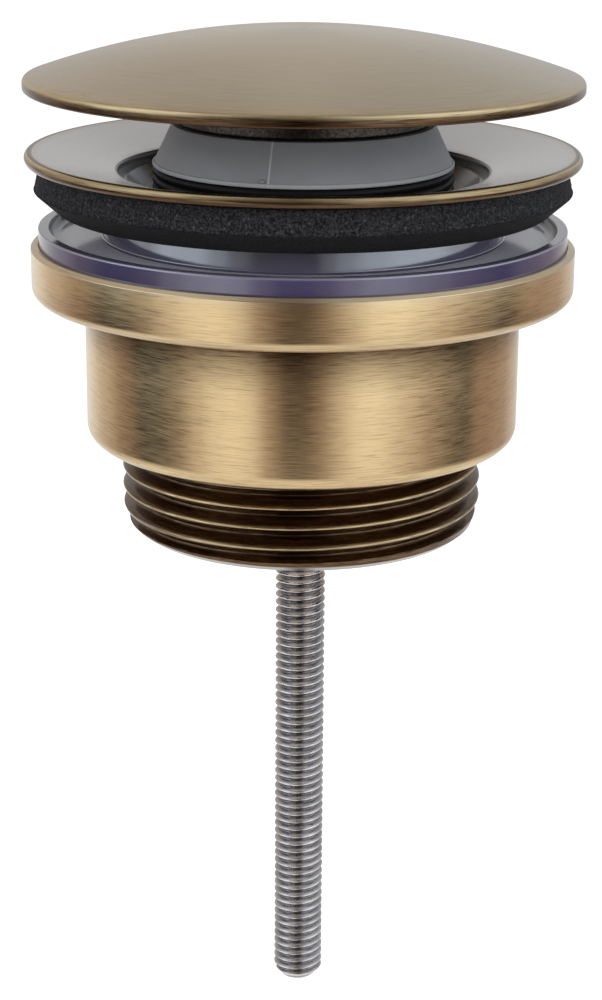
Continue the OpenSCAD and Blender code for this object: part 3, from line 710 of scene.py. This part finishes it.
def tail_body():
    """A ring, a cup and a threaded outlet in one outline, with a boss on arms inside."""
    ring_bottom = ring_top - RING_H
    cup_bottom = ring_bottom - CUP_L
    floor = cup_bottom + CUP_FLOOR
    root_r = THREAD_R - THREAD_DEPTH
    outlet_r = root_r - OUTLET_WALL
    ring_bore_r = gasket_r + RING_FIT
    # Painted shade inside the ring's bore, darker lower down
    rows = marked([(ring_bore_r, gasket_bottom), (ring_bore_r, ring_top)], (-0.6, -0.2))
    rows += marked(soften([(ring_bore_r, ring_top), (ring_r - RING_EDGE, ring_top, 0.1),
                         (ring_r, ring_top - RING_EDGE, 0.1), (ring_r, ring_bottom + 2)])[1:-1], 0.12, 0.15)
    rows.append((ring_r, ring_top - 1.2, 0.1, 0.0))
    # Painted shade on the ring's lower round, greyer towards its bottom, then on its underside and down the
    # cup below it
    low_round = arc(ring_r - RING_ROUND, ring_bottom + RING_ROUND, RING_ROUND, 0, -90)
    rows += marked(low_round, (-0.1, -0.5), (0.0, 0.3))
    rows += marked([(CUP_R + 1.0, ring_bottom), (CUP_R, ring_bottom)], (-0.5, -0.8))
    rows += [(CUP_R, ring_bottom - depth, wear_and_painted_light, 0.0) for depth, wear_and_painted_light in CORNER_SHADE]
    # Painted shade on the cup's lower round
    rows += marked(arc(CUP_R - CUP_ROUND, cup_bottom + CUP_ROUND, CUP_ROUND, 0, -90), (-0.08, -0.4))
    # Painted shade on the thread's flanks and roots, which leaves a thin painted highlight along each crest;
    # the entry chamfer is painted darker and greyer
    for z in np.arange(cup_bottom - 0.02, tail_bottom, -THREAD_PITCH / THREAD_STEPS):
        rise = screw(z - THREAD_START, THREAD_PITCH, THREAD_DEPTH, THREAD_SHARPNESS, SEGMENTS)
        entry = min(1.0, max(0.0, (z - tail_bottom) / OUTLET_CHAMFER))
        lead = min(1.0, max(0.0, (z - tail_bottom - OUTLET_CHAMFER) / OUTLET_LEAD))
        r = root_r + np.minimum(rise, THREAD_DEPTH * (0.5 + 0.5 * lead))
        if entry < 1:
            rows.append((root_r + THREAD_DEPTH * 0.5 * entry, z, -0.4, 0.8))
            continue
        crest = ((r - root_r) / THREAD_DEPTH) ** CREST_POWER
        rows.append((r, z, THREAD_PAINTED_SHADE * (1 - crest), 0.0))
    # Painted shade on the outlet's end, the cup's floor and its bore
    rows += marked([(root_r, tail_bottom), (outlet_r, tail_bottom)], -0.4, 0.8)
    rows += marked([(outlet_r, floor), (CUP_BORE_R, floor), (CUP_BORE_R, gasket_bottom)], -0.4)
    boss = soften([(BOSS_R, boss_top, BOSS_ROUND), (BOSS_R, boss_bottom, BOSS_ROUND),
                   (insert_r + FIT, boss_bottom), (insert_r + FIT, boss_top)])
    spokes = arms(BOSS_R - 0.8, outlet_r + OUTLET_WALL / 2, boss_bottom)
    return piece("tail", [spin(rows), spin(boss, BOSS_SEGMENTS)] + spokes, "tail", "tail_body",
                 BRASS)


def tie_bolt():
    """A socket head, a plain neck and a threaded rod with a pointed tip."""
    turn = np.linspace(0, 2 * math.pi, ROD_SEGMENTS, endpoint=False)
    hexagon = SOCKET_AF / 2 / np.cos((turn + math.pi / 6) % (math.pi / 3) - math.pi / 6)
    socket_floor = head_top - HEAD_H / 2
    head_bottom = head_top - HEAD_H
    root_r = BOLT_R - ROD_EASE - ROD_DEPTH
    rows = [(0, socket_floor), (hexagon, socket_floor), (hexagon, head_top)]
    rows += soften([(SOCKET_AF, head_top), (head_r, head_top, 0.4), (head_r, head_bottom, 0.2),
                    (BOLT_R, head_bottom)])[1:]
    thread_top = sleeve_bottom - ROD_NECK
    rows += [(BOLT_R, thread_top)]
    for z in np.arange(thread_top, rod_bottom + ROD_EASE, -ROD_PITCH / ROD_STEPS):
        rise = screw(z, ROD_PITCH, ROD_DEPTH, ROD_SHARPNESS, ROD_SEGMENTS)
        limit = root_r + ROD_DEPTH - max(0.0, rod_bottom + ROD_TIP - z) * ROD_TIP_SLOPE
        # Painted shade in the thread's roots, from the mark 1 - rise / depth
        rows.append((np.minimum(root_r + rise, limit), z, 1 - rise / ROD_DEPTH, 0.0))
    tip_r = root_r - ROD_TIP / 2
    rows += [(tip_r, rod_bottom), (0, rod_bottom)]
    return piece("rod", [spin(rows, ROD_SEGMENTS)], "bolt", "tie_bolt", STEEL)


def return_spring():
    """A coil of round wire with closed ends, built at one length; the real spring shortens as the plug goes
    down.
    """
    coil_r = spring_outer_r - WIRE_R
    low, high = spring_bottom + WIRE_R, spring_top - WIRE_R
    turns_at = np.linspace(0, SPRING_TURNS, SPRING_POINTS)
    dead_rise = 2 * WIRE_R * SPRING_DEAD
    climb = np.interp(turns_at, [0, SPRING_DEAD, SPRING_TURNS - SPRING_DEAD, SPRING_TURNS],
                      [low, low + dead_rise, high - dead_rise, high])
    sides = WIRE_SIDES
    vertices, faces = [], []
    for t, z in zip(turns_at, climb):
        a = math.tau * t
        for j in range(sides):
            b = math.tau * j / sides
            r = coil_r + WIRE_R * math.cos(b)
            vertices.append((r * math.cos(a), r * math.sin(a), z + WIRE_R * math.sin(b)))
    last = len(turns_at) - 1
    for i in range(last):
        for j in range(sides):
            k = (j + 1) % sides
            faces.append((i * sides + j, i * sides + k, (i + 1) * sides + k, (i + 1) * sides + j))
    faces.append(tuple(range(sides - 1, -1, -1)))
    faces.append(tuple(last * sides + j for j in range(sides)))
    wire = vertices, faces, [UNMARKED] * len(vertices)
    made = piece("spring", [wire], "flange", "return_spring", STEEL)
    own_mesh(made)
    return made


plug_cap()
plug_hub()
seal_carrier()
plug_seal()
basin_flange()
foam_washer()
clear_gasket()
tail_body()
tie_bolt()
return_spring()


# Camera, at the photograph's place, in metres and degrees

CAMERA_PLACE = (0, -0.26566, 0.04837)
CAMERA_DOWN = 17.473
CAMERA_ROLL = 0.42
CAMERA_LENS = 84.64
CAMERA_SENSOR = 36.0


def add_camera():
    data = bpy.data.cameras.new("camera")
    data.lens = CAMERA_LENS
    data.sensor_width = CAMERA_SENSOR
    data.clip_start = 0.01
    made = bpy.data.objects.new("camera", data)
    pitch, roll = math.radians(90 - CAMERA_DOWN), math.radians(CAMERA_ROLL)
    turn = Matrix.Rotation(pitch, 4, "X") @ Matrix.Rotation(roll, 4, "Z")
    made.matrix_world = Matrix.Translation(CAMERA_PLACE) @ turn
    bpy.context.collection.objects.link(made)
    bpy.context.scene.camera = made


# Studio: a world with two tall softboxes towards the camera's side, two lamps, a pale floor and a backdrop

# Levels around the object from its back over its left, front and right, as (azimuth, level)
WALLS = [(-180, 0.9), (-150, 0.85), (-126, 0.6), (-108, 0.28), (-91, 0.01), (-80, 0.02), (-68, 0.17),
         (-57, 0.62), (-46, 0.96), (-36, 1.14), (-27, 1.0), (-17, 0.4), (-8, 0.08), (1, 0.05), (10, 0.26),
         (20, 0.66), (30, 1.02), (40, 1.0), (51, 0.74), (61, 0.54), (72, 0.28), (84, 0.12), (94, 0.04),
         (110, 0.3), (132, 0.42), (150, 0.62), (180, 0.9)]
# Levels above the horizon, as (azimuth, level, warmth)
SKY = [(-180, 0.55, 0.02), (-168, 0.45, 0.05), (-150, 0.5, 0.1), (-127, 0.42, 0.06), (-100, 0.66, -0.06),
       (-84, 1.15, -0.22), (-62, 1.1, -0.24), (-48, 0.62, -0.22), (-38, 0.3, -0.05), (-24, 0.08, 0.1),
       (6, 0.07, 0.1), (14, 0.3, -0.05), (24, 0.58, -0.22), (40, 0.95, -0.24), (60, 1.2, -0.24),
       (80, 1.2, -0.22), (100, 0.8, -0.1), (124, 0.46, -0.1), (150, 0.44, -0.1), (168, 0.46, -0.06),
       (180, 0.55, 0.02)]
# Share of such a level at a height, from 0 at the horizon to 1 overhead
SKY_FALL = [(0.0, 1.55), (0.1, 1.4), (0.22, 1.08), (0.35, 0.98), (0.5, 0.88), (0.73, 0.76), (0.95, 0.4)]
# The even level that the sky nears with height
CEILING = colour(0.46, 0.46, 0.45)
WHITE_FLOOR = colour(0.95, 0.95, 0.95)
# Lamps, in degrees, metres and watts
LAMP_AZIMUTH = 42
LAMP_ELEVATION = 24
LAMP_DISTANCE = 0.9
LAMP_SIZE = 0.7
LAMP_POWER = 4.4
FLOOR_SIZE = 4.0
FLOOR_GLOW = 0.6


def warm(level):
    """A studio level as a colour, browner where it is dim."""
    share = min(1.0, level / 0.8)
    return colour(level, level * (0.6 + 0.4 * share), level * (0.5 + 0.5 * share))


def add_world():
    world = bpy.data.worlds.new("studio")
    bpy.context.scene.world = world
    n = Nodes(world)
    x, y, z = n.split(n.add("TexCoord"))
    along = n.span(n.math("ARCTAN2", x, n.math("MULTIPLY", y, -1.0)), -math.pi, math.pi)
    walls = n.ramp(along, [(0.5 + azimuth / 360, warm(level)) for azimuth, level in WALLS])
    sky = n.ramp(along, [(0.5 + azimuth / 360, colour(level, level * (1 - warmth / 2), level * (1 - warmth)))
                         for azimuth, level, warmth in SKY])
    fall = n.ramp(z, [(height, colour(share, share, share)) for height, share in SKY_FALL])
    sky = n.mix(fall, colour(0, 0, 0), sky)
    sky = n.mix(n.span(z, 0.2, 0.5, 0.0, 0.3), sky, CEILING)
    around = n.mix(n.span(z, -0.2, -0.1), walls, sky)
    around = n.mix(n.span(z, -0.35, -0.6), around, WHITE_FLOOR)
    path = n.tree.nodes.new("ShaderNodeLightPath")
    backdrop = n.math("MAXIMUM", path.outputs["Is Camera Ray"], path.outputs["Is Transmission Ray"])
    n.put(n.tree.nodes["Background"], "Color", n.mix(backdrop, around, colour(1, 1, 1)))


def add_lamp(name, azimuth):
    """A round lamp for the matt pieces; the world alone gives the reflections."""
    data = bpy.data.lights.new(name, "AREA")
    data.shape = "DISK"
    data.size = LAMP_SIZE
    data.energy = LAMP_POWER
    made = bpy.data.objects.new(name, data)
    a, e = math.radians(azimuth), math.radians(LAMP_ELEVATION)
    place = Vector((math.sin(a) * math.cos(e), -math.cos(a) * math.cos(e), math.sin(e))) * LAMP_DISTANCE
    made.visible_glossy = False
    made.location = place
    made.rotation_euler = place.to_track_quat("Z", "Y").to_euler()
    bpy.context.collection.objects.link(made)


def add_floor():
    """A pale floor at the rod's end, clear in reflections and from below."""
    mesh = bpy.data.meshes.new("floor")
    corners = [(-1, -1), (1, -1), (1, 1), (-1, 1)]
    places = [(x * FLOOR_SIZE, y * FLOOR_SIZE, rod_bottom * MM) for x, y in corners]
    mesh.from_pydata(places, [], [(0, 1, 2, 3)])
    n = new_material("floor")
    n.finish(Base_Color=colour(0.85, 0.85, 0.85), Roughness=0.9, Specular_IOR_Level=0.0)
    path = n.tree.nodes.new("ShaderNodeLightPath")
    glow = n.tree.nodes.new("ShaderNodeEmission")
    n.put(glow, "Strength", n.math("MULTIPLY", path.outputs["Is Camera Ray"], FLOOR_GLOW))
    both = n.tree.nodes.new("ShaderNodeAddShader")
    n.put(both, 0, n.tree.nodes["Principled BSDF"].outputs[0])
    n.put(both, 1, glow.outputs[0])
    clear = n.tree.nodes.new("ShaderNodeBsdfTransparent")
    pick = n.tree.nodes.new("ShaderNodeMixShader")
    through = n.math("MAXIMUM", path.outputs["Is Glossy Ray"], path.outputs["Is Transmission Ray"])
    below = n.tree.nodes.new("ShaderNodeNewGeometry").outputs["Backfacing"]
    n.put(pick, 0, n.math("MAXIMUM", through, below))
    n.put(pick, 1, both.outputs[0])
    n.put(pick, 2, clear.outputs[0])
    n.put(n.tree.nodes["Material Output"], "Surface", pick.outputs[0])
    mesh.materials.append(n.owner)
    made = bpy.data.objects.new("floor", mesh)
    bpy.context.collection.objects.link(made)


add_camera()
add_world()
add_floor()
add_lamp("key", -LAMP_AZIMUTH)
add_lamp("fill", LAMP_AZIMUTH)
bpy.context.scene.view_settings.view_transform = "Standard"
